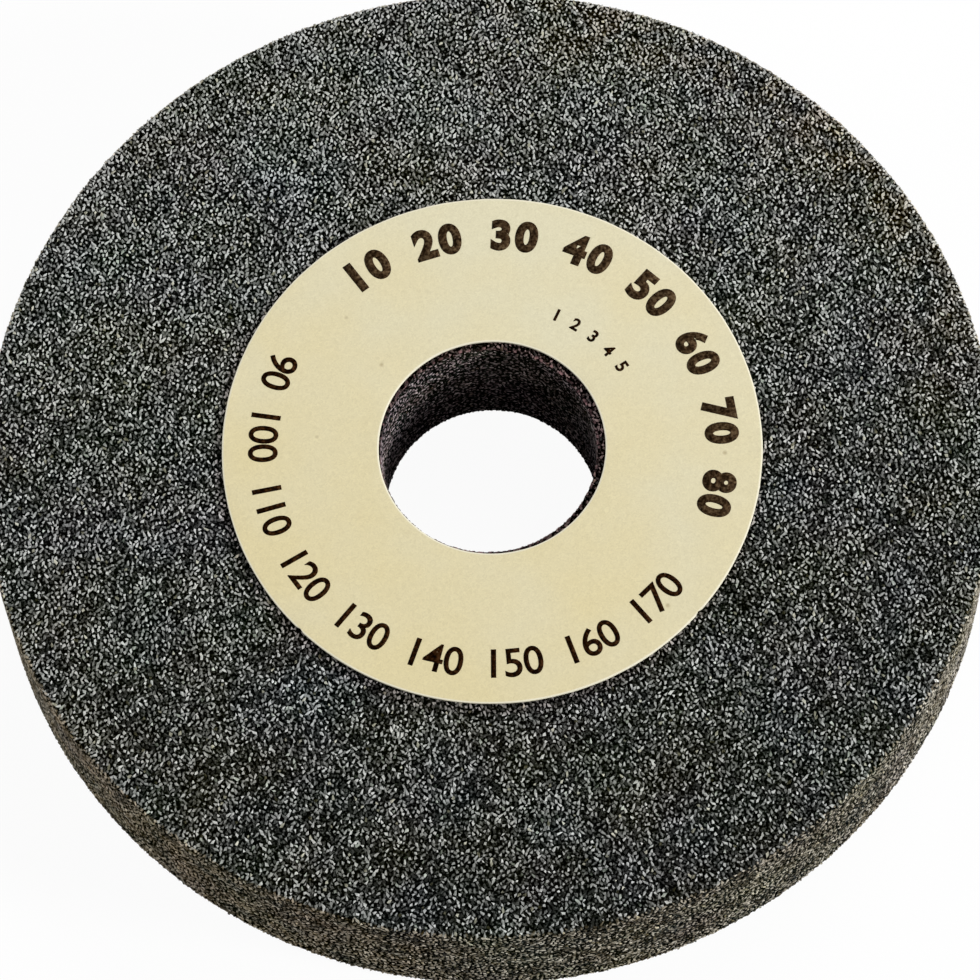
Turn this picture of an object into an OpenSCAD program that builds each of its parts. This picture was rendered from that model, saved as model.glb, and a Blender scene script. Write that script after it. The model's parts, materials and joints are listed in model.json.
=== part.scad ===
// A straight grinding wheel lying on its back face, with a paper label round its bore.
// The origin is the centre of the back face, and the spindle's axis is +Z.

/* [Wheel] */
// Outside diameter of the wheel
wheel_d = 150; // [110:1:300]
// Thickness of the wheel from face to face
wheel_t = 25; // [10:1:60]
// Radius to which the two outer edges are worn
edge_r = 1; // [0.4:0.1:4]
// Diameter of the bore that goes over the spindle
bore_d = 32; // [12:0.1:50]

/* [Label] */
// Outside diameter of the paper label
label_d = 80; // [64:1:108]
// Thickness of the label's card
label_t = 0.4; // [0.2:0.1:1]
// How far off the wheel's axis the label is stuck on
label_off = 0.6; // [0:0.1:2]
// Direction in which it is off, anticlockwise from +X
label_off_dir = 30; // [0:5:355]
// Least gap that this leaves between the hole in the label and the bore
label_gap = 0.2; // [0.1:0.1:2]

/* [Hidden] */

$fn = 180;
wheel_r = wheel_d / 2;
bore_r = bore_d / 2;
label_r = label_d / 2;
label_hole_r = bore_r + label_off + label_gap;

// Half of the wheel's section, right of the axis: each outer corner is cut off and filled with its round
module wheel_section() {
    polygon([
        [bore_r, 0],
        [wheel_r - edge_r, 0],
        [wheel_r, edge_r],
        [wheel_r, wheel_t - edge_r],
        [wheel_r - edge_r, wheel_t],
        [bore_r, wheel_t]
    ]);
    for (z = [edge_r, wheel_t - edge_r])
        translate([wheel_r - edge_r, z]) circle(r = edge_r);
}

// Half of the label's section, right of its own axis
module label_section() {
    translate([label_hole_r, 0]) square([label_r - label_hole_r, label_t]);
}

// Grit and bond are pressed and fired as one piece, so one revolved section makes all of it
module abrasive_wheel() {
    color("#4a4c48") rotate_extrude() wheel_section();
}

// The label lies flat on the front face, and the machine's flange presses on it
module paper_label() {
    color("#e0d1a6")
        translate([label_off * cos(label_off_dir), label_off * sin(label_off_dir), wheel_t])
            rotate_extrude() label_section();
}

abrasive_wheel();
paper_label();
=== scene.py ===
import json
from math import cos, pi, radians, sin

import bpy
from mathutils import Matrix, Vector


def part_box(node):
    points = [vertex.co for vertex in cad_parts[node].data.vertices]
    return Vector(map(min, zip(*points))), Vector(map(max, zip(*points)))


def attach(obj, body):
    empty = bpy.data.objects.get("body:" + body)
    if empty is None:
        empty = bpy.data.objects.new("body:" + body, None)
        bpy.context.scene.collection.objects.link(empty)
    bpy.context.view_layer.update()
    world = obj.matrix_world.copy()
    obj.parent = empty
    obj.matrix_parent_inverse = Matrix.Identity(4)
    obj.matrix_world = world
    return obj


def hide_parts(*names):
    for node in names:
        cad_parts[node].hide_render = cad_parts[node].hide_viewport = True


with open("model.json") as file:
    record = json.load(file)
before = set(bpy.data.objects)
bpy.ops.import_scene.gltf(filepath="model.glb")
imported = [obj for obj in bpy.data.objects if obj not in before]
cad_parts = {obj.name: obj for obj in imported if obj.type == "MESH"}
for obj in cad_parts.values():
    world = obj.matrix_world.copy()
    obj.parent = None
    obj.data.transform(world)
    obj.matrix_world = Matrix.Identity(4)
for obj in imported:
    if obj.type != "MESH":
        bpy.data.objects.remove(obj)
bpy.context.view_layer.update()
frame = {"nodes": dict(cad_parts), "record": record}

MM = 0.001
TURN = 2 * pi
WHITE = (1, 1, 1)

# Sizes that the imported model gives
wheel_low, wheel_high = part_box("abrasive_wheel")
label_low, label_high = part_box("paper_label")
bore_mount = next(m for m in frame["record"]["mounts"] if m["name"] == "spindle_bore")
WHEEL_R = (wheel_high.x - wheel_low.x) / 2
WHEEL_T = wheel_high.z - wheel_low.z
BORE_R = bore_mount["dims"]["r_mm"] * MM
LABEL_MID = (label_low + label_high) / 2
LABEL_R = (label_high.x - label_low.x) / 2
LABEL_T = label_high.z - label_low.z
HOLE_R = min((v.co - LABEL_MID).xy.length for v in frame["nodes"]["paper_label"].data.vertices)

# The wheel's skin: its worn edges, and the rings that each flat side is cut into, from the bore outwards
EDGE_R = 1.0 * MM
EDGE_STEPS = 4
WHEEL_STEPS = 180
RINGS = ("inner", "middle", "outer")
# Its faces are put in order by how far they lie from here, because a spin gives them in a changing order
COUNTED_FROM = (0.0713, 0.0237, 0.0391)
# Points closer than this are merged
MERGED = 0.01 * MM

# The kinds of grain, as their number of sides and how wide their tops are
GRAIN_KINDS = ((3, 0.85), (4, 0.7), (4, 0.8), (4, 0.75), (5, 0.8), (4, 0.85))
# How far their corners are skewed, for a grain of size 1
CORNER_SKEW = 0.16
# Their least and greatest length, width and height, and how far apart they sit
LEAST_GRAIN = (0.54 * MM, 0.4 * MM, 0.3 * MM)
MOST_GRAIN = (1.2 * MM, 0.6 * MM, 0.47 * MM)
FRONT_SPACING = 0.5 * MM
OTHER_SPACING = 0.6 * MM
# Points drawn on a square metre, of which those stay that keep their distance
MOST_POINTS = 4.0 / FRONT_SPACING**2
# How far they lean, how far those on the front turn from the picture's upright, and how deep they sink
GRAIN_TILT = radians(16)
GRAIN_SWING = radians(60)
GRAIN_SINK = 0.13 * MM
# How far their cut tips differ, how deep the bond lies under them, and how far they go on under the card
TRUED_APART = 0.03 * MM
BOND_DEPTH = 0.15 * MM
UNDER_LABEL = 1.7 * MM

# The maps that the finish is baked through: the number of strips that a round wall is unrolled into, the
# room for grains that overhang, and the margin
RIM_STRIPS = 5
BORE_STRIPS = 2
OVERHANG = 1.0 * MM
BAKE_EDGE = 0.015

# The card: the rings and edge bands of its sides, its cut edges, and the waves in which it wavers and swells
CARD_STEPS = 360
CARD_RINGS = 8
EDGE_BAND = 0.35 * MM
CUT_EDGE = 0.08 * MM
CUT_WAVER = 0.08 * MM
WAVER_WAVES = 4 * MM
SWELL = 0.035 * MM
SWELL_WAVES = 35 * MM
SMOOTH_UNDER = radians(35)
# Its nicks, as direction and depth, and half of their width seen from its middle
NICKS = ((radians(-44), 0.25 * MM), (radians(-138), 0.2 * MM))
HALF_NICK = radians(0.6)

# The figures on the card, in arcs round its middle. Each arc is given as its text, the height and the extra
# stroke of a figure, how far out its foot stands, the direction of the arc's middle, the turn from figure
# to figure, and whether their tops point outwards
BOLD_ARC = ("10 20 30 40 50 60 70 80", 4.7 * MM, 0.055, 31.9 * MM, radians(52), radians(6.5), True)
THIN_ARC = (
    "90 100 110 120 130 140 150 160 170", 4.3 * MM, 0.012, 36.0 * MM, radians(235), radians(4.95), False
)
SMALL_ARC = ("1 2 3 4 5", 1.9 * MM, 0.03, 22.2 * MM, radians(46), radians(4), True)
FIGURE_STEPS = 8
# Points of a figure closer than this are merged
FIGURE_MERGED = 0.002 * MM
# How far the film of ink lies off the card, and how thick it is
INK_LIFT = 0.01 * MM
INK_T = 0.015 * MM

# Sizes of the patterns in the finishes
PATCH = 14 * MM
BLOTCH = 4 * MM
FACET = 0.48 * MM
PITS = 0.14 * MM
SPECK = 0.37 * MM
CLOUD = 15 * MM
FIBRE = 0.5 * MM
DOTS_APART = 5 * MM
MOTTLE = 0.4 * MM
# Facets are drawn out along the card's upright
DRAWN_OUT = (1, 0.6, 1)

# Tones of the grit: fresh facets from dark to light, and the bond from its pores, painted near black as
# shade between the grains, to the specks in it
FRESH_TONES = ((0.0, 0.02), (0.3, 0.23), (0.7, 0.50), (0.93, 0.68), (1.0, 0.80))
BOND_TONES = ((0.48, 0.001), (0.6, 0.015), (0.72, 0.12))
FACET_SWING = 1.2
# The coat of bond and the painted shade on a grain fade from its foot to its top, further down on some
# grains than on others
COAT_AND_SHADE_BREAKS = (0.2, 0.9)
BARE_AND_LIT_SWING = 0.7
BARE_AND_LIT_LEAST = -0.25
GRIT_ROUGH = (0.3, 0.6)
# Casts of its patches, as least cast and swing, and of a few stray grains
CAST_LEAST = (0.81, 1.0, 0.68)
CAST_SWING = (0.32, 0.0, 0.48)
STRAY_CASTS = ((0.0, (1.0, 1.0, 1.0)), (0.95, (1.08, 1.03, 0.80)), (0.98, (0.95, 1.03, 0.92)))
# A cast is as written on grit of this grey, and stronger on darker grit, as the eye sees it
EVEN_GREY = 0.2
LEAST_GREY = 0.003
EYE_POWER = 1 / 2.2
# Painted light, which grows up the wheel, less so below its middle, and falls a little towards the right,
# with blotches of wear on it. Together they bare the grains of bond and painted shade, and bring out paler
# facets and dull them
PAINTED_LIGHT_UP = 2.2
PAINTED_LIGHT_BELOW = 0.5
PAINTED_LIGHT_RIGHT = -0.1
WEAR_BLOTCH = 0.3
LIGHT_AND_WEAR_FRESHENS = 1.9
LIGHT_AND_WEAR_DULLS = 1.1
LIGHT_AND_WEAR_BARES = 2.2

# Brown stains: their direction on the front and on the rim, their fade to the sides, as cosines, their fade
# inwards, their patches, and their cast
FRONT_STAIN = radians(48)
RIM_STAIN = radians(225)
STAIN_FADE = (0.7, 0.92)
STAIN_BAND = (WHEEL_R - 13 * MM, WHEEL_R - 4 * MM)
STAIN_PATCH = (0.35, 0.6)
RUSTY = (1.15, 1.03, 0.88, 1)

# Painted shade on the front's grit in the card's hole, and round the card's outer edge painted shade with
# glue soaked
# into the grit: how much of it in the card's hole and round the card, how far out, how its border wavers,
# how far it lies off the card's middle, how deep it goes, and its colour
SHADE_IN_HOLE = 0.78
SHADE_AND_GLUE_ROUND = 0.36
SHADE_AND_GLUE_BAND = (LABEL_R + 1.5 * MM, LABEL_R + 0.2 * MM)
SHADE_AND_GLUE_WAVES = 2 * MM
SHADE_AND_GLUE_WAVER = 0.8 * MM
SHADE_AND_GLUE_OFF = Vector((-0.45 * MM, -0.75 * MM, 0))
SHADE_AND_GLUE_DEPTH = 0.5 * MM
SHADE_AND_GLUE_COLOUR = (0.32, 0.12, 0.13, 1)

# The card: its tones from lower left to upper right, painted paler that way as sheen, clouds, fibres, rare
# specks and a paler cut core that is partly a painted highlight
CARD_STOPS = ((0.15, (0.82, 0.72, 0.422)), (0.5, (0.815, 0.735, 0.472)), (0.85, (0.805, 0.75, 0.522)))
CARD_SHEEN_UP = 7.5
CARD_SHEEN_RIGHT = 4.5
CLOUD_SWING = 1.2
CLOUD_LEAST = -0.1
FIBRE_STOPS = ((0.3, (0.91, 0.9, 0.88)), (0.7, (1.04, 1.04, 1.045)))
CARD_ROUGH = (0.5, 0.65)
DOT_RARE = 0.9
DOT_FADE = (0.09, 0.03)
DOT_SHADE = (0.72, 0.68, 0.62, 1)
# Its cut core is paler, and also stands for a painted highlight where the cut edges catch the light
PALE_CORE_AND_HIGHLIGHT = (0.90, 0.85, 0.66, 1)
CORE_SEEN = 0.3 * MM

# The ink's tones from where it is full to where it is thin
INK_PLACES = (0.35, 0.5, 0.68)
BLOTCHY_INK = ((0.012, 0.006, 0.002), (0.045, 0.025, 0.011), (0.115, 0.077, 0.04))
FULL_INK = ((0.003, 0.001, 0.0), (0.014, 0.004, 0.0), (0.05, 0.02, 0.006))
INK_ROUGH = (0.5, 0.75)

# The camera, which looks down at the front face
LENS = 204.2
SENSOR = 36.0
CAMERA_TILT = radians(69.27)
CAMERA_ROLL = radians(-3.43)
CAMERA_DISTANCE = 0.82
CAMERA_AIM = Vector((-0.15 * MM, -6.36 * MM, WHEEL_T))

# The studio: a soft box, three broad side lights as name, direction and power, a pale sky, and a table that
# glows just enough for the camera to see it white
SOFTBOX_AT = Vector((0.4, 0.5, 0.73))
SOFTBOX_SIZE = 0.47
SOFTBOX_POWER = 4.1
SIDE_LIGHTS = (
    ("right_light", Vector((1.0, -0.3, 0.42)), 2.8),
    ("left_light", Vector((-1.0, 0.1, 0.14)), 0.95),
    ("front_light", Vector((0.5, -1.0, 0.6)), 0.33),
)
SIDE_WIDTH = radians(12)
SKY_POWER = 0.19
TABLE_SIZE = 4.0
TABLE_DROP = 0.2 * MM
TABLE_TONE = 0.8
TABLE_GLOW = 0.95


# Small helpers for objects


def deselect():
    bpy.ops.object.select_all(action="DESELECT")


def take(name):
    """Names the object just added, and makes it the only one selected."""
    piece = bpy.context.object
    piece.name = name
    piece.data.name = name
    deselect()
    piece.select_set(True)
    return piece


def copy_of(source, name):
    """A copy with its own mesh, selected alone and active."""
    deselect()
    source.select_set(True)
    bpy.context.view_layer.objects.active = source
    bpy.ops.object.duplicate()
    return take(name)


def edit(mode="VERT"):
    """Starts editing, with everything selected."""
    bpy.ops.object.mode_set(mode="EDIT")
    bpy.ops.mesh.select_mode(type=mode)
    bpy.ops.mesh.select_all(action="SELECT")


def done():
    bpy.ops.object.mode_set(mode="OBJECT")


def pick(piece, parts, test):
    """Selects the piece's vertices, edges or polygons that pass the test, and goes on editing."""
    bpy.ops.mesh.select_all(action="DESELECT")
    bpy.ops.object.mode_set(mode="OBJECT")
    for part in getattr(piece.data, parts):
        part.select = test(part)
    bpy.ops.object.mode_set(mode="EDIT")


def span(piece, an_edge):
    """How far an edge of the piece runs along each axis."""
    first, last = (piece.data.vertices[i].co for i in an_edge.vertices)
    return Vector(abs(a - b) for a, b in zip(first, last))


def apply_place(piece):
    """Puts the object's place, turn and scale into its mesh."""
    deselect()
    piece.select_set(True)
    bpy.context.view_layer.objects.active = piece
    bpy.ops.object.transform_apply(location=True, rotation=True, scale=True)


def dress(piece, material):
    """Gives a finished piece its material and its body."""
    piece.data.materials.clear()
    piece.data.materials.append(material)
    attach(piece, "root")


# Small helpers for node trees


def add(tree, kind, inputs=None, **settings):
    """Adds a node, and gives each named or numbered input a value or a link."""
    node = tree.nodes.new(kind)
    for name, value in settings.items():
        setattr(node, name, value)
    for name, value in (inputs or {}).items():
        if isinstance(name, int):
            socket = node.inputs[name]
        else:
            socket = next(s for s in node.inputs if s.enabled and s.name == name)
        if isinstance(value, bpy.types.NodeSocket):
            tree.links.new(value, socket)
        else:
            socket.default_value = value
    return node


def result(node, name):
    return next(s for s in node.outputs if s.enabled and s.name == name)


def calc(tree, operation, *values):
    return add(tree, "ShaderNodeMath", dict(enumerate(values)), operation=operation).outputs[0]


def centred(tree, value, swing):
    """Makes a value from 0 to 1 swing evenly about 0."""
    return calc(tree, "MULTIPLY_ADD", value, swing, -swing / 2)


def between(tree, value, least, most):
    return calc(tree, "MINIMUM", calc(tree, "MAXIMUM", value, least), most)


def vector(tree, operation, *values):
    """Vector maths, which gives a vector, or the number that a length or a dot product is."""
    node = add(tree, "ShaderNodeVectorMath", dict(enumerate(values)), operation=operation)
    return next(s for s in node.outputs if s.enabled)


def scaled(tree, value, by):
    return add(tree, "ShaderNodeVectorMath", {0: value, "Scale": by}, operation="SCALE").outputs[0]


def split(tree, value):
    return add(tree, "ShaderNodeSeparateXYZ", {0: value}).outputs


def off_axis(tree, place, middle=(0, 0, 0)):
    """How a place lies off an upright line through a middle: as a level vector, and its length."""
    level = vector(tree, "MULTIPLY", vector(tree, "SUBTRACT", place, tuple(middle)), (1, 1, 0))
    return level, vector(tree, "LENGTH", level)


def remap(tree, value, come=(0.0, 1.0), go=(0.0, 1.0)):
    """Carries a value from one span, given as its two ends, to another one, and holds it at the ends."""
    spans = dict(zip(("From Min", "From Max", "To Min", "To Max"), (*come, *go)))
    return add(tree, "ShaderNodeMapRange", {"Value": value, **spans}).outputs[0]


def new_group(name, kind, inputs, outputs):
    """A node group with its inputs given as name, type and default, and its outputs as name and type."""
    tree = bpy.data.node_groups.new(name, kind)
    for title, socket_kind, value in inputs:
        socket = tree.interface.new_socket(
            name=title, in_out="INPUT", socket_type="NodeSocket" + socket_kind
        )
        if value is not None:
            socket.default_value = value
    for title, socket_kind in outputs:
        tree.interface.new_socket(name=title, in_out="OUTPUT", socket_type="NodeSocket" + socket_kind)
    return tree, tree.nodes.new("NodeGroupInput").outputs, tree.nodes.new("NodeGroupOutput").inputs


# The wheel's form


def wheel_skin():
    """The wheel's nominal surface: one section with its outer corners rounded, spun round the axis."""
    deselect()
    bpy.ops.mesh.primitive_plane_add(
        size=1,
        calc_uvs=False,
        location=((BORE_R + WHEEL_R) / 2, 0, WHEEL_T / 2),
        rotation=(pi / 2, 0, 0),
    )
    skin = take("wheel_skin")
    skin.scale = (WHEEL_R - BORE_R, WHEEL_T, 1)
    apply_place(skin)
    edit()
    pick(skin, "vertices", lambda v: v.co.x > BORE_R + EDGE_R)
    bpy.ops.mesh.bevel(offset=EDGE_R, segments=EDGE_STEPS, affect="VERTICES")
    bpy.ops.mesh.select_all(action="SELECT")
    bpy.ops.mesh.delete(type="ONLY_FACE")
    edit("EDGE")
    pick(skin, "edges", lambda e: span(skin, e).x > EDGE_R)
    bpy.ops.mesh.subdivide(number_cuts=len(RINGS) - 1)
    edit()
    bpy.ops.mesh.spin(steps=WHEEL_STEPS, angle=TURN, center=(0, 0, 0), axis=(0, 0, 1))
    bpy.ops.mesh.select_all(action="SELECT")
    bpy.ops.mesh.remove_doubles(threshold=MERGED)
    bpy.ops.mesh.normals_make_consistent(inside=False)
    bpy.context.scene.cursor.location = COUNTED_FROM
    bpy.ops.mesh.sort_elements(type="CURSOR_DISTANCE", elements={"FACE"})
    done()
    return skin


def bond(skin):
    """The fired bond between the grains: the skin drawn in by the depth at which the bond lies."""
    core = copy_of(skin, "wheel_bond")
    edit()
    bpy.ops.transform.shrink_fatten(value=-BOND_DEPTH)
    done()
    return core


def side(face):
    """The name of the wheel's side that a polygon of its skin is on. A flat side is named ring by ring."""
    share = (face.center.xy.length - BORE_R) / (WHEEL_R - BORE_R)
    ring = RINGS[min(int(share * len(RINGS)), len(RINGS) - 1)]
    if face.normal.z > sin(pi / 4):
        return ring + "_front"
    if face.normal.z < -sin(pi / 4):
        return ring + "_back"
    return "rim" if ring == RINGS[-1] else "bore"


def region(skin, which):
    """A copy of one side of the skin."""
    part = copy_of(skin, which + "_grit")
    edit("FACE")
    pick(part, "polygons", lambda face: side(face) != which)
    bpy.ops.mesh.delete(type="FACE")
    done()
    return part


# The grains


def crystal(name, sides, top, seed):
    """One crushed grain: a tapered block with skewed corners and no underside. Its top is at the skin."""
    deselect()
    bpy.ops.mesh.primitive_cone_add(
        vertices=sides, radius1=0.5, radius2=0.5 * top, depth=1, calc_uvs=False, location=(0, 0, -0.5)
    )
    grain = take(name)
    apply_place(grain)
    edit("FACE")
    pick(grain, "polygons", lambda face: face.normal.z < -0.9)
    bpy.ops.mesh.delete(type="FACE")
    bpy.ops.mesh.select_all(action="SELECT")
    bpy.ops.transform.vertex_random(offset=CORNER_SKEW, uniform=1.0, seed=seed)
    bpy.ops.mesh.quads_convert_to_tris(quad_method="SHORTEST_DIAGONAL", ngon_method="BEAUTY")
    done()
    height = grain.data.attributes.new("height", "FLOAT", "POINT")
    for vertex, share in zip(grain.data.vertices, height.data):
        share.value = min(max(vertex.co.z + 1, 0), 1)
    return grain


def crystals():
    """The kinds of grain that the grit is made of."""
    return [crystal(f"grain_{i}", *kind, i + 1) for i, kind in enumerate(GRAIN_KINDS)]


def geometry_group(name, *inputs):
    """A geometry node group that a modifier can run."""
    geometry = ("Geometry", "Geometry")
    tree, given, out = new_group(name, "GeometryNodeTree", [(*geometry, None), *inputs], [geometry])
    tree.is_modifier = True
    return tree, given, out["Geometry"]


def run_nodes(piece, tree, **values):
    """Runs a geometry node tree on a piece and applies it. The values go in by the names of its inputs."""
    modifier = piece.modifiers.new(tree.name, "NODES")
    modifier.node_group = tree
    for socket in tree.interface.items_tree:
        if socket.item_type == "SOCKET" and socket.in_out == "INPUT" and socket.name in values:
            modifier[socket.identifier] = values[socket.name]
    deselect()
    piece.select_set(True)
    bpy.context.view_layer.objects.active = piece
    bpy.ops.object.modifier_apply(modifier=modifier.name)


def chance(tree, kind, low, high, seed):
    """A random value for each point, of the kind FLOAT, INT or FLOAT_VECTOR. Each use has its own seed."""
    spans = {"Min": low, "Max": high, "Seed": seed}
    return result(add(tree, "FunctionNodeRandomValue", spans, data_type=kind), "Value")


def named(tree, name):
    """A value that each point or grain carries by name."""
    node = add(tree, "GeometryNodeInputNamedAttribute", {"Name": name}, data_type="FLOAT")
    return result(node, "Attribute")


def store(tree, geometry, name, value, kind, domain):
    """Gives each point or corner a value to carry by name."""
    return add(
        tree,
        "GeometryNodeStoreNamedAttribute",
        {"Geometry": geometry, "Name": name, "Value": value},
        data_type=kind,
        domain=domain,
    ).outputs[0]


def uncovered(tree, points, place, bare_from, bare_to):
    """The points without those that the card hides, which lie between two distances from its middle."""
    reach = off_axis(tree, place, LABEL_MID)[1]
    inside = calc(tree, "LESS_THAN", reach, bare_to)
    covered = calc(tree, "MULTIPLY", inside, calc(tree, "GREATER_THAN", reach, bare_from))
    return add(
        tree, "GeometryNodeDeleteGeometry", {"Geometry": points, "Selection": covered}, domain="POINT"
    ).outputs[0]


def random_turn(tree, seat, swing):
    """The turn of each grain on its seat: about the upright by chance, and leaning a little."""
    tilt = chance(tree, "FLOAT_VECTOR", (-GRAIN_TILT, -GRAIN_TILT, 0), (GRAIN_TILT, GRAIN_TILT, 0), 14)
    about = calc(tree, "MULTIPLY_ADD", chance(tree, "FLOAT", -1.0, 1.0, 17), swing, pi / 2)
    turn = vector(tree, "ADD", tilt, add(tree, "ShaderNodeCombineXYZ", {"Z": about}).outputs[0])
    own = add(tree, "FunctionNodeEulerToRotation", {0: turn}).outputs[0]
    return add(
        tree, "FunctionNodeRotateRotation", {"Rotation": seat, "Rotate By": own}, rotation_space="LOCAL"
    ).outputs[0]


def scatter_tree(grains):
    """Nodes that seat grains of random kind, turn, size and depth, where the card doesn't hide them."""
    tree, given, out = geometry_group(
        "grit",
        ("Spacing", "Float", OTHER_SPACING),
        ("Bare From", "Float", 0.0),
        ("Bare To", "Float", 0.0),
        ("Swing", "Float", pi),
        ("Seed", "Int", 1),
    )
    seats = {
        "Mesh": given["Geometry"],
        "Distance Min": given["Spacing"],
        "Density Max": MOST_POINTS,
        "Seed": given["Seed"],
    }
    seated = add(tree, "GeometryNodeDistributePointsOnFaces", seats, distribute_method="POISSON").outputs
    place = add(tree, "GeometryNodeInputPosition").outputs[0]
    points = uncovered(tree, seated["Points"], place, given["Bare From"], given["Bare To"])

    parts = split(tree, place)
    carried = {
        "turn": calc(tree, "DIVIDE", calc(tree, "ARCTAN2", parts["Y"], parts["X"]), TURN),
        "tone": chance(tree, "FLOAT", 0.0, 1.0, 11),
        "tint": chance(tree, "FLOAT", 0.0, 1.0, 12),
    }
    for name, value in carried.items():
        points = store(tree, points, name, value, "FLOAT", "POINT")

    depth = calc(tree, "MULTIPLY", chance(tree, "FLOAT", 0.0, 1.0, 13), GRAIN_SINK)
    sunk = scaled(tree, seated["Normal"], calc(tree, "MULTIPLY", depth, -1.0))
    points = add(tree, "GeometryNodeSetPosition", {"Geometry": points, "Offset": sunk}).outputs[0]

    kinds = add(tree, "GeometryNodeJoinGeometry")
    for grain in grains:
        shape = add(tree, "GeometryNodeObjectInfo", {"Object": grain, "As Instance": True})
        tree.links.new(shape.outputs["Geometry"], kinds.inputs[0])
    drawn = {
        "Points": points,
        "Instance": kinds.outputs[0],
        "Pick Instance": True,
        "Instance Index": chance(tree, "INT", 0, len(grains) - 1, 15),
        "Rotation": random_turn(tree, seated["Rotation"], given["Swing"]),
        "Scale": chance(tree, "FLOAT_VECTOR", LEAST_GRAIN, MOST_GRAIN, 16),
    }
    spread = add(tree, "GeometryNodeInstanceOnPoints", drawn).outputs[0]
    tree.links.new(add(tree, "GeometryNodeRealizeInstances", {0: spread}).outputs[0], out)
    return tree


def truing_tree():
    """Nodes that cut the grains back to the wheel's faces, as a dressing diamond does, not all alike."""
    tree, given, out = geometry_group("truing")
    place = add(tree, "GeometryNodeInputPosition").outputs[0]
    flat, reach = off_axis(tree, place)
    short = calc(tree, "MULTIPLY", named(tree, "tone"), TRUED_APART)
    cut = between(tree, reach, calc(tree, "ADD", short, BORE_R), calc(tree, "SUBTRACT", WHEEL_R, short))
    height = between(tree, split(tree, place)["Z"], short, calc(tree, "SUBTRACT", WHEEL_T, short))
    upright = add(tree, "ShaderNodeCombineXYZ", {"Z": height}).outputs[0]
    trued = vector(tree, "MULTIPLY_ADD", flat, calc(tree, "DIVIDE", cut, reach), upright)
    moved = {"Geometry": given["Geometry"], "Position": trued}
    tree.links.new(add(tree, "GeometryNodeSetPosition", moved).outputs[0], out)
    return tree


# The maps that the finish is baked through


def store_map(tree, geometry, across, up):
    """Stores the map that the finish is baked through, from two values that run from 0 to 1."""
    spot = add(tree, "ShaderNodeCombineXYZ", {"X": across, "Y": up}).outputs[0]
    return store(tree, geometry, "OFBake", spot, "FLOAT2", "CORNER")


def within(tree, share):
    """Draws a share from 0 to 1 in a little, so that the grains that overhang stay on the map."""
    return remap(tree, share, go=(BAKE_EDGE, 1 - BAKE_EDGE))


def flat_map_tree():
    """Nodes that lay the bake map of a flat ring as it is seen along the axis. The ring fills the map."""
    tree, given, out = geometry_group("flat map", ("Reach", "Float", WHEEL_R))
    parts = split(tree, add(tree, "GeometryNodeInputPosition").outputs[0])
    half = calc(tree, "DIVIDE", 0.5, given["Reach"])
    across, up = (within(tree, calc(tree, "MULTIPLY_ADD", parts[axis], half, 0.5)) for axis in "XY")
    tree.links.new(store_map(tree, given["Geometry"], across, up), out)
    return tree


def round_map_tree():
    """Nodes that unroll a round wall into strips, one above the other, and keep each grain on one strip."""
    tree, given, out = geometry_group("round map", ("Strips", "Int", 1))
    count = given["Strips"]
    parts = split(tree, add(tree, "GeometryNodeInputPosition").outputs[0])
    seat = named(tree, "turn")
    own = calc(tree, "DIVIDE", calc(tree, "ARCTAN2", parts["Y"], parts["X"]), TURN)
    laps = calc(tree, "ROUND", calc(tree, "SUBTRACT", own, seat))
    own = calc(tree, "SUBTRACT", own, laps)
    strip = calc(tree, "FLOOR", calc(tree, "MULTIPLY", calc(tree, "ADD", seat, 0.5), count))
    strip = calc(tree, "MINIMUM", strip, calc(tree, "SUBTRACT", count, 1.0))
    along = calc(tree, "MULTIPLY", calc(tree, "ADD", own, 0.5), count)
    along = calc(tree, "SUBTRACT", along, strip)
    high = within(tree, calc(tree, "DIVIDE", parts["Z"], WHEEL_T))
    up = calc(tree, "DIVIDE", calc(tree, "ADD", strip, high), count)
    tree.links.new(store_map(tree, given["Geometry"], within(tree, along), up), out)
    return tree


# The label


def label_card():
    """The card: a disc with a hole, with soft cut edges that waver, two small nicks and a slight swell."""
    deselect()
    bpy.ops.mesh.primitive_cylinder_add(
        vertices=CARD_STEPS, radius=LABEL_R, depth=LABEL_T, calc_uvs=False, location=LABEL_MID
    )
    card = take("label_card")
    apply_place(card)
    edit("FACE")
    pick(card, "polygons", lambda face: abs(face.normal.z) > 0.9)
    inner_ring = (LABEL_R - HOLE_R - 2 * EDGE_BAND) / CARD_RINGS
    for width in (EDGE_BAND, *[inner_ring] * CARD_RINGS, EDGE_BAND):
        bpy.ops.mesh.inset(thickness=width)
    bpy.ops.mesh.bridge_edge_loops()
    done()
    soften_cuts(card)
    waver_cuts(card)
    nick_cuts(card)
    ripple(card, "swell", SWELL_WAVES, SWELL, direction="Z")
    bpy.ops.object.shade_smooth_by_angle(angle=SMOOTH_UNDER)
    return card


def is_cut(vertex):
    """True for a corner on one of the card's two cut edges, and not on the rings of its flat sides."""
    reach = (vertex.co - LABEL_MID).xy.length
    return reach > LABEL_R - EDGE_BAND / 2 or reach < HOLE_R + EDGE_BAND / 2


def runs_round(card, an_edge):
    """True for an edge that runs along one of the card's two cuts, and not across its thickness."""
    on_cut = all(is_cut(card.data.vertices[i]) for i in an_edge.vertices)
    return on_cut and span(card, an_edge).z < LABEL_T / 2


def soften_cuts(card):
    """Rounds the four sharp edges that the knife leaves."""
    edit("EDGE")
    pick(card, "edges", lambda e: runs_round(card, e))
    bpy.ops.mesh.bevel(offset=CUT_EDGE, segments=2, affect="EDGES")
    done()


def ripple(piece, name, waves, height, **settings):
    """Moves a piece's points in or out by soft noise, and applies it."""
    waver = piece.modifiers.new(name, "DISPLACE")
    waver.texture = bpy.data.textures.new(name, "CLOUDS")
    waver.texture.noise_scale = waves
    waver.mid_level = 0.5
    waver.strength = height
    for setting, value in settings.items():
        setattr(waver, setting, value)
    bpy.ops.object.modifier_apply(modifier=waver.name)


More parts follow.
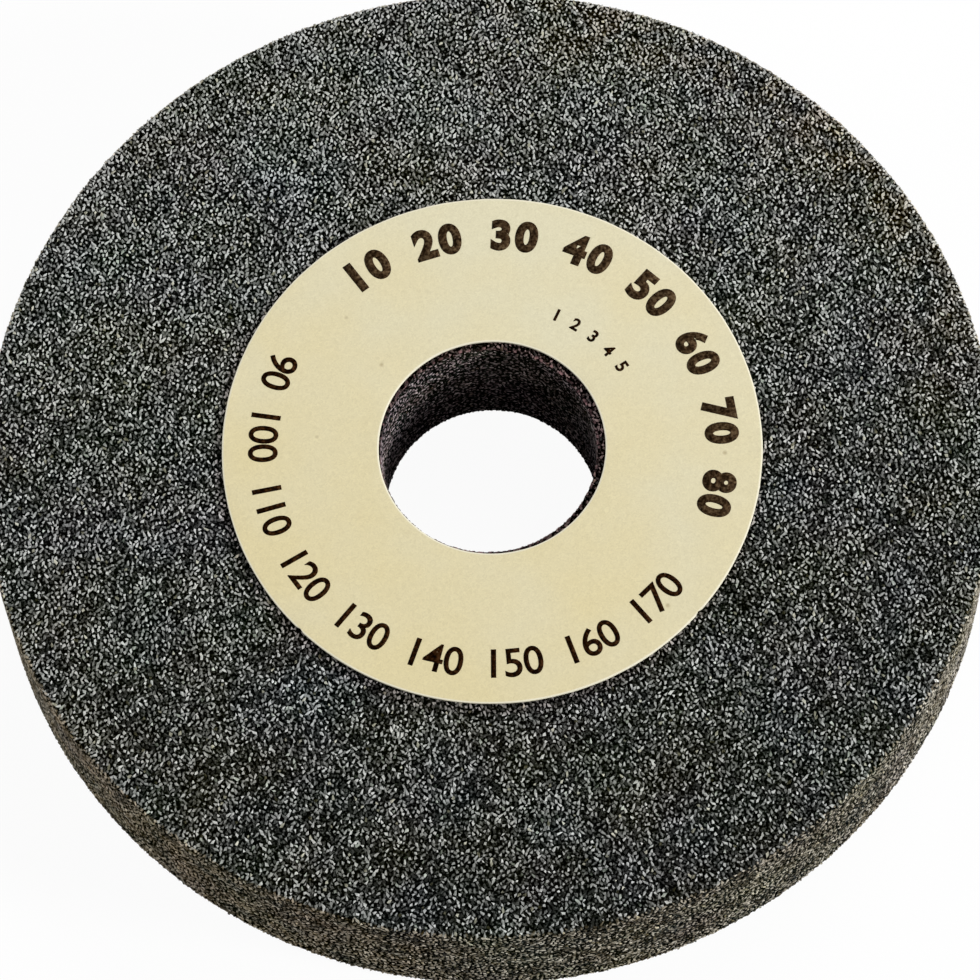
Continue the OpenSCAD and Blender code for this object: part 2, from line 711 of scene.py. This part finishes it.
def waver_cuts(card):
    """Lets the knife waver a little along both cut edges."""
    cuts = card.vertex_groups.new(name="cuts")
    cuts.add([v.index for v in card.data.vertices if is_cut(v)], 1.0, "REPLACE")
    ripple(card, "waver", WAVER_WAVES, CUT_WAVER, vertex_group=cuts.name)
    card.vertex_groups.clear()


def in_nick(vertex, outward):
    """True for a point on the card's outer edge that lies in the nick in this direction."""
    spoke = (vertex.co - LABEL_MID).xy
    on_edge = spoke.length > LABEL_R - EDGE_BAND / 2
    return on_edge and spoke.normalized().dot(outward.xy) > cos(HALF_NICK)


def nick_cuts(card):
    """Pushes in the outer edge where the card got its small nicks."""
    for angle, depth in NICKS:
        outward = Vector((cos(angle), sin(angle), 0))
        edit()
        pick(card, "vertices", lambda v: in_nick(v, outward))
        bpy.ops.transform.translate(value=-depth * outward)
        done()


def digit(char, stroke):
    """A figure one unit high, centred over its foot line, as a flat mesh."""
    deselect()
    bpy.ops.object.text_add(location=(0, 0, 0))
    text = bpy.context.object
    text.data.body = char
    text.data.align_x = "CENTER"
    text.data.resolution_u = FIGURE_STEPS
    text.data.offset = stroke
    bpy.ops.object.convert(target="MESH")
    shape = take("figure_" + char)
    tallest = max(v.co.y for v in shape.data.vertices)
    shape.scale = (1 / tallest,) * 3
    apply_place(shape)
    return shape


def arc_of_figures(text, height, stroke, foot, middle, step, tops_out):
    """Sets figures along an arc, with their tops away from the card's middle or towards it."""
    kinds = {char: digit(char, stroke) for char in sorted(set(text) - {" "})}
    turn = -1 if tops_out else 1
    placed = []
    for i, char in enumerate(text):
        if char == " ":
            continue
        angle = middle + turn * step * (i - (len(text) - 1) / 2)
        copy = copy_of(kinds[char], "figure")
        copy.scale = (height, height, 1)
        copy.rotation_euler.z = angle + turn * pi / 2
        copy.location = LABEL_MID + foot * Vector((cos(angle), sin(angle), 0))
        apply_place(copy)
        placed.append(copy)
    for kind in kinds.values():
        bpy.data.objects.remove(kind)
    return placed


def label_figures(name, card, arcs):
    """The figures of some arcs as one thin film of ink that follows the card's swell."""
    placed = [figure for arc in arcs for figure in arc_of_figures(*arc)]
    deselect()
    for figure in placed:
        figure.select_set(True)
    bpy.context.view_layer.objects.active = placed[0]
    bpy.ops.object.join()
    ink = take(name)
    edit()
    bpy.ops.mesh.remove_doubles(threshold=FIGURE_MERGED)
    bpy.ops.transform.translate(value=(0, 0, LABEL_T))
    done()
    lay = ink.modifiers.new("lay", "SHRINKWRAP")
    lay.target = card
    lay.wrap_method = "PROJECT"
    lay.use_project_z = True
    lay.use_negative_direction = True
    lay.offset = INK_LIFT
    film = ink.modifiers.new("film", "SOLIDIFY")
    film.thickness = INK_T
    film.offset = 1.0
    for modifier in (lay, film):
        bpy.ops.object.modifier_apply(modifier=modifier.name)
    return ink


# Small helpers for finishes


def object_place(tree):
    return add(tree, "ShaderNodeTexCoord").outputs["Object"]


def noise(tree, place, grain, detail=2.0, output="Fac", **more):
    """Noise whose lumps are about one grain wide."""
    return add(
        tree, "ShaderNodeTexNoise", {"Vector": place, "Scale": 1 / grain, "Detail": detail, **more}
    ).outputs[output]


def ramp(tree, value, stops, mode="LINEAR"):
    """A colour ramp with its stops given as place and colour."""
    node = add(tree, "ShaderNodeValToRGB", {0: value})
    node.color_ramp.interpolation = mode
    elements = node.color_ramp.elements
    while len(elements) < len(stops):
        elements.new(0.5)
    for element, (place, colour) in zip(elements, stops):
        element.position = place
    for element, (place, colour) in zip(elements, stops):
        element.color = (*colour, 1)
    return node.outputs[0]


def greys(stops):
    """Stops of a ramp that are given as place and grey."""
    return tuple((place, (grey,) * 3) for place, grey in stops)


def mix_colour(tree, blend, factor, a, b, clamp=False):
    sides = {"Factor": factor, "A": a, "B": b}
    node = add(tree, "ShaderNodeMix", sides, data_type="RGBA", blend_type=blend, clamp_result=clamp)
    return result(node, "Result")


def material(name):
    """A new material, with its nodes and its shader."""
    made = bpy.data.materials.new(name)
    made.use_nodes = True
    shader = next(n for n in made.node_tree.nodes if n.type == "BSDF_PRINCIPLED")
    return made, made.node_tree, shader


def use_group(tree, group, inputs):
    """Places a shared group in a material with this material's own values, and gives its outputs."""
    return add(tree, "ShaderNodeGroup", inputs, node_tree=group).outputs


def bump(tree, shader, height, strength, distance):
    """Gives a shader small relief."""
    relief = add(tree, "ShaderNodeBump", {"Height": height, "Strength": strength, "Distance": distance})
    tree.links.new(relief.outputs[0], shader.inputs["Normal"])


# Finishes


def tint_group():
    """Patches of greener and browner grit, with a stray yellow or green grain here and there, and painted
    light that grows up the wheel, with blotches of wear on it.
    """
    tree, given, out = new_group(
        "grit tint",
        "ShaderNodeTree",
        [("Place", "Vector", None), ("Tint", "Float", 0.5)],
        [("Cast", "Color"), ("Wear", "Float")],
    )
    place = given["Place"]
    patch = noise(tree, place, PATCH, 5.0, "Color", Roughness=0.6)
    cast = vector(tree, "MULTIPLY_ADD", patch, CAST_SWING, CAST_LEAST)
    stray = ramp(tree, given["Tint"], STRAY_CASTS, "CONSTANT")
    # Painted light: the grit grows lighter up the wheel, less so below its middle, and a little darker
    # towards the right
    parts = split(tree, place)
    up = calc(tree, "MAXIMUM", parts["Y"], calc(tree, "MULTIPLY", parts["Y"], PAINTED_LIGHT_BELOW))
    painted_light_slope = calc(tree, "MULTIPLY_ADD", parts["X"], PAINTED_LIGHT_RIGHT, up)
    blotch = centred(tree, noise(tree, place, BLOTCH, 1.0), WEAR_BLOTCH)
    tree.links.new(vector(tree, "MULTIPLY", cast, stray), out["Cast"])
    tree.links.new(calc(tree, "MULTIPLY_ADD", painted_light_slope, PAINTED_LIGHT_UP, blotch), out["Wear"])
    return tree


def mask_group(name):
    """A shader node group that makes a mask from a place on the object."""
    return new_group(name, "ShaderNodeTree", [("Place", "Vector", None)], [("Mask", "Float")])


def stain_group():
    """A mask of brown stains: on the front close to its edge at one side, and on the rim at the other."""
    tree, given, out = mask_group("edge stain")
    flat, reach = off_axis(tree, given["Place"])
    spoke = vector(tree, "NORMALIZE", flat)
    at_front, at_rim = (
        remap(tree, vector(tree, "DOT_PRODUCT", spoke, (cos(angle), sin(angle), 0)), STAIN_FADE)
        for angle in (FRONT_STAIN, RIM_STAIN)
    )
    on_rim = calc(tree, "GREATER_THAN", reach, WHEEL_R - EDGE_R / 2)
    near = calc(tree, "MULTIPLY", remap(tree, reach, STAIN_BAND), calc(tree, "SUBTRACT", 1.0, on_rim))
    both = calc(tree, "MULTIPLY_ADD", at_rim, on_rim, calc(tree, "MULTIPLY", at_front, near))
    patch = remap(tree, noise(tree, given["Place"], BLOTCH, 2.0), STAIN_PATCH)
    tree.links.new(calc(tree, "MULTIPLY", both, patch), out["Mask"])
    return tree


def shade_and_glue_group():
    """A mask of painted shade on the grit in the card's hole, and of painted shade and soaked-in glue close
    round its outer edge.
    """
    tree, given, out = mask_group("glue fringe")
    place = given["Place"]
    reach = off_axis(tree, place, LABEL_MID + SHADE_AND_GLUE_OFF)[1]
    waver = centred(tree, noise(tree, place, SHADE_AND_GLUE_WAVES, 1.0), SHADE_AND_GLUE_WAVER)
    near = remap(tree, calc(tree, "ADD", reach, waver), SHADE_AND_GLUE_BAND)
    outside = calc(tree, "GREATER_THAN", reach, (HOLE_R + LABEL_R) / 2)
    outside = calc(tree, "MULTIPLY", calc(tree, "MULTIPLY", near, outside), SHADE_AND_GLUE_ROUND)
    # Painted shade on the grit seen in the card's hole, beside the card's cut edge
    in_hole = calc(tree, "LESS_THAN", reach, HOLE_R + SHADE_AND_GLUE_OFF.length)
    shaded_and_soaked = calc(tree, "MULTIPLY_ADD", in_hole, SHADE_IN_HOLE, outside)
    on_front = calc(tree, "GREATER_THAN", split(tree, place)["Z"], WHEEL_T - SHADE_AND_GLUE_DEPTH)
    tree.links.new(calc(tree, "MULTIPLY", shaded_and_soaked, on_front), out["Mask"])
    return tree


def tinted(tree, place, grey, cast):
    """Gives grey grit its cast and brown stains, which show most where it is dark, and the painted shade and
    glue stain by the card.
    """
    brown = use_group(tree, STAIN, {"Place": place})["Mask"]
    cast = mix_colour(tree, "MULTIPLY", brown, cast, RUSTY)
    share = calc(tree, "DIVIDE", EVEN_GREY, calc(tree, "MAXIMUM", grey, LEAST_GREY))
    off_grey = scaled(tree, vector(tree, "SUBTRACT", cast, WHITE), calc(tree, "POWER", share, EYE_POWER))
    colour = scaled(tree, vector(tree, "ADD", off_grey, WHITE), grey)
    shaded_and_soaked = use_group(tree, SHADE_AND_GLUE, {"Place": place})["Mask"]
    return mix_colour(tree, "MULTIPLY", shaded_and_soaked, colour, SHADE_AND_GLUE_COLOUR, clamp=True)


def grit_material(name, cast, bright, coat_and_shade, contrast):
    """Crushed grain: dark bond coat and painted shade on its flanks, and fresh facets of many tones where it
    was cut.
    """
    made, tree, shader = material(name)
    place = object_place(tree)
    tone, height, tint = (
        add(tree, "ShaderNodeAttribute", attribute_name=carried).outputs["Fac"]
        for carried in ("tone", "height", "tint")
    )
    patches = use_group(tree, TINT, {"Place": place, "Tint": tint})
    light_and_wear = patches["Wear"]
    facet = noise(tree, vector(tree, "MULTIPLY", place, DRAWN_OUT), FACET, 2.0)
    level = calc(tree, "MULTIPLY_ADD", tone, contrast, 0.5 - contrast / 2)
    level = calc(tree, "ADD", level, centred(tree, facet, FACET_SWING))
    # Painted light and wear: paler, duller facets and fewer shaded flanks up the wheel
    level = calc(tree, "MULTIPLY_ADD", light_and_wear, LIGHT_AND_WEAR_FRESHENS, level)
    pale = calc(tree, "MULTIPLY_ADD", light_and_wear, -LIGHT_AND_WEAR_DULLS * bright, bright)
    fresh = calc(tree, "MULTIPLY", ramp(tree, level, greys(FRESH_TONES)), pale)
    # Painted shade: flanks darken towards the grain's foot, where the dark coat of bond also lies
    bare_and_lit = calc(tree, "ADD", height, calc(tree, "MULTIPLY_ADD", tint, BARE_AND_LIT_SWING, BARE_AND_LIT_LEAST))
    bare_and_lit = calc(tree, "MULTIPLY_ADD", light_and_wear, LIGHT_AND_WEAR_BARES, bare_and_lit)
    grey = remap(tree, bare_and_lit, COAT_AND_SHADE_BREAKS, (coat_and_shade, fresh))
    cast = mix_colour(tree, "MULTIPLY", 1.0, patches["Cast"], (*cast, 1))
    tree.links.new(tinted(tree, place, grey, cast), shader.inputs["Base Color"])
    tree.links.new(remap(tree, facet, go=GRIT_ROUGH), shader.inputs["Roughness"])
    shader.inputs["Specular IOR Level"].default_value = 0.2
    bump(tree, shader, noise(tree, place, PITS, 2.0), 0.5, 0.07 * MM)
    return made


def bond_material():
    """The glassy bond and the deeper grains in it, seen as specks between pores painted black as shade
    between the grains.
    """
    made, tree, shader = material("fired bond")
    place = object_place(tree)
    speck = noise(tree, place, SPECK, 1.0)
    cast = use_group(tree, TINT, {"Place": place, "Tint": 0.0})["Cast"]
    # Painted shade: the bond's pores between the grains are near black
    colour = tinted(tree, place, ramp(tree, speck, greys(BOND_TONES)), cast)
    tree.links.new(colour, shader.inputs["Base Color"])
    shader.inputs["Roughness"].default_value = 0.8
    shader.inputs["Specular IOR Level"].default_value = 0.0
    bump(tree, shader, speck, 0.8, 0.2 * MM)
    return made


def cut_mask(tree, place):
    """1 along the card's two cut edges, where its paler core and a painted highlight show, and 0 on its
    printed side.
    """
    reach = off_axis(tree, place, LABEL_MID)[1]
    half = (LABEL_R - HOLE_R) / 2
    off_middle = calc(tree, "ABSOLUTE", calc(tree, "SUBTRACT", reach, HOLE_R + half))
    return remap(tree, calc(tree, "SUBTRACT", half, off_middle), (CORE_SEEN, CORE_SEEN / 2))


def rare_dots(tree, place):
    """A mask of small specks, in one cell out of ten."""
    cells = add(tree, "ShaderNodeTexVoronoi", {"Vector": place, "Scale": 1 / DOTS_APART}).outputs
    draw = add(tree, "ShaderNodeSeparateColor", {0: cells["Color"]}).outputs[0]
    dot = remap(tree, cells["Distance"], DOT_FADE)
    return calc(tree, "MULTIPLY", calc(tree, "GREATER_THAN", draw, DOT_RARE), dot)


def card_material():
    """Cream card: cloudy, painted paler towards its upper right as sheen, with fibres, specks and a pale cut
    core that is partly a painted highlight.
    """
    made, tree, shader = material("cream card")
    place = object_place(tree)
    parts = split(tree, place)
    # Painted sheen: the card's tone grows paler towards its upper right
    painted_light_slope = calc(tree, "MULTIPLY_ADD", parts["Y"], CARD_SHEEN_UP, calc(tree, "MULTIPLY", parts["X"], CARD_SHEEN_RIGHT))
    cloud = calc(tree, "MULTIPLY_ADD", noise(tree, place, CLOUD, 3.0), CLOUD_SWING, CLOUD_LEAST)
    colour = ramp(tree, calc(tree, "ADD", cloud, painted_light_slope), CARD_STOPS)
    fibre = noise(tree, place, FIBRE, 6.0, Distortion=1.5)
    colour = mix_colour(tree, "MULTIPLY", 1.0, colour, ramp(tree, fibre, FIBRE_STOPS))
    colour = mix_colour(tree, "MULTIPLY", rare_dots(tree, place), colour, DOT_SHADE)
    colour = mix_colour(tree, "MIX", cut_mask(tree, place), colour, PALE_CORE_AND_HIGHLIGHT)
    tree.links.new(colour, shader.inputs["Base Color"])
    tree.links.new(remap(tree, fibre, go=CARD_ROUGH), shader.inputs["Roughness"])
    bump(tree, shader, fibre, 0.15, 0.03 * MM)
    return made


def ink_material(name, tones):
    """Brown ink, mottled where it is thin and the card's fibres show through."""
    made, tree, shader = material(name)
    thin = noise(tree, object_place(tree), MOTTLE, 3.0)
    colour = ramp(tree, thin, tuple(zip(INK_PLACES, tones)))
    tree.links.new(colour, shader.inputs["Base Color"])
    tree.links.new(remap(tree, thin, go=INK_ROUGH), shader.inputs["Roughness"])
    shader.inputs["Specular IOR Level"].default_value = 0.02
    return made


def table_material():
    """A pale table that the camera sees as white, with the wheel's soft shadow on it."""
    made, tree, shader = material("pale table")
    shader.inputs["Roughness"].default_value = 0.9
    shader.inputs["Specular IOR Level"].default_value = 0.0
    shader.inputs["Emission Color"].default_value = (*WHITE, 1)
    seen = add(tree, "ShaderNodeLightPath").outputs["Is Camera Ray"]
    tree.links.new(calc(tree, "MULTIPLY", seen, TABLE_GLOW), shader.inputs["Emission Strength"])
    lit, shown = ((tone,) * 3 + (1,) for tone in (TABLE_TONE, 1 - TABLE_GLOW))
    tree.links.new(mix_colour(tree, "MIX", seen, lit, shown), shader.inputs["Base Color"])
    return made


# The studio


def add_camera():
    tilt = Matrix.Rotation(pi / 2 - CAMERA_TILT, 4, "X") @ Matrix.Rotation(CAMERA_ROLL, 4, "Z")
    back = Vector((0, -cos(CAMERA_TILT), sin(CAMERA_TILT)))
    bpy.ops.object.camera_add(location=CAMERA_AIM + back * CAMERA_DISTANCE, rotation=tilt.to_euler())
    camera = bpy.context.object
    camera.name = "camera"
    camera.data.lens = LENS
    camera.data.sensor_width = SENSOR
    bpy.context.scene.camera = camera


def turned_to(direction):
    """The turn that points a lamp's back along a direction."""
    return direction.to_track_quat("Z", "Y").to_euler()


def add_lights():
    bpy.ops.object.light_add(type="AREA", location=SOFTBOX_AT, rotation=turned_to(SOFTBOX_AT))
    softbox = bpy.context.object
    softbox.name = "softbox"
    softbox.data.energy = SOFTBOX_POWER
    softbox.data.size = SOFTBOX_SIZE
    for name, come_from, power in SIDE_LIGHTS:
        bpy.ops.object.light_add(type="SUN", rotation=turned_to(come_from))
        light = bpy.context.object
        light.name = name
        light.data.energy = power
        light.data.angle = SIDE_WIDTH
    world = bpy.data.worlds.new("studio")
    world.use_nodes = True
    bpy.context.scene.world = world
    tree = world.node_tree
    seen = add(tree, "ShaderNodeLightPath").outputs["Is Camera Ray"]
    power = remap(tree, seen, go=(SKY_POWER, 1.0))
    tree.links.new(power, tree.nodes["Background"].inputs["Strength"])
    tree.nodes["Background"].inputs["Color"].default_value = (*WHITE, 1)


def add_table():
    deselect()
    bpy.ops.mesh.primitive_plane_add(size=TABLE_SIZE, location=(0, 0, -TABLE_DROP))
    table = take("table")
    apply_place(table)
    table.data.materials.append(table_material())


# The wheel and its label, put together


def ring_reach(number):
    """How far from the axis the grains of a ring reach, those that overhang its outer edge included."""
    edge = BORE_R + (WHEEL_R - BORE_R) * (number + 1) / len(RINGS)
    return min(edge + OVERHANG, WHEEL_R)


def add_wheel():
    skin = wheel_skin()
    grains = crystals()
    core = bond(skin)
    dress(core, bond_material())
    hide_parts("abrasive_wheel")
    # The rim's grit is painted brighter, as light on the rim; the bore's facets are painted darker, as shade
    # in the bore, and its flanks lighter, as fill light in it
    face_grit = grit_material("face grit", cast=(1.0, 1.0, 1.0), bright=0.88, coat_and_shade=0.002, contrast=1.05)
    lit_rim_grit = grit_material("rim grit", cast=(1.16, 1.0, 0.80), bright=0.98, coat_and_shade=0.004, contrast=0.75)
    shaded_bore_grit = grit_material("bore grit", cast=(1.33, 1.0, 1.10), bright=0.68, coat_and_shade=0.045, contrast=0.9)
    scatter, truing = scatter_tree(grains), truing_tree()
    flat_map, round_map = flat_map_tree(), round_map_tree()
    front = {
        "Spacing": FRONT_SPACING,
        "Bare From": HOLE_R + UNDER_LABEL,
        "Bare To": LABEL_R - UNDER_LABEL,
        "Swing": GRAIN_SWING,
    }
    rings = [(ring, {"Reach": ring_reach(i)}) for i, ring in enumerate(RINGS)]
    in_hole = {"Reach": front["Bare From"] + OVERHANG}
    sides = [
        ("inner_front", face_grit, flat_map, in_hole, front),
        *[(ring + "_front", face_grit, flat_map, reach, front) for ring, reach in rings[1:]],
        *[(ring + "_back", face_grit, flat_map, reach, {}) for ring, reach in rings],
        ("rim", lit_rim_grit, round_map, {"Strips": RIM_STRIPS}, {}),
        ("bore", shaded_bore_grit, round_map, {"Strips": BORE_STRIPS}, {}),
    ]
    for seed, (which, finish, layout, spread, given) in enumerate(sides):
        part = region(skin, which)
        run_nodes(part, scatter, Seed=seed, **given)
        run_nodes(part, truing)
        run_nodes(part, layout, **spread)
        dress(part, finish)
        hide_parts("abrasive_wheel")
    for scrap in [skin, *grains]:
        bpy.data.objects.remove(scrap)


def add_label():
    card = label_card()
    bold = label_figures("bold_figures", card, (BOLD_ARC,))
    fine = label_figures("fine_figures", card, (THIN_ARC, SMALL_ARC))
    dress(card, card_material())
    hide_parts("paper_label")
    dress(bold, ink_material("blotchy ink", BLOTCHY_INK))
    dress(fine, ink_material("full ink", FULL_INK))


TINT = tint_group()
STAIN = stain_group()
SHADE_AND_GLUE = shade_and_glue_group()
add_camera()
add_lights()
add_table()
add_wheel()
add_label()

bpy.context.scene.view_settings.view_transform = "Standard"
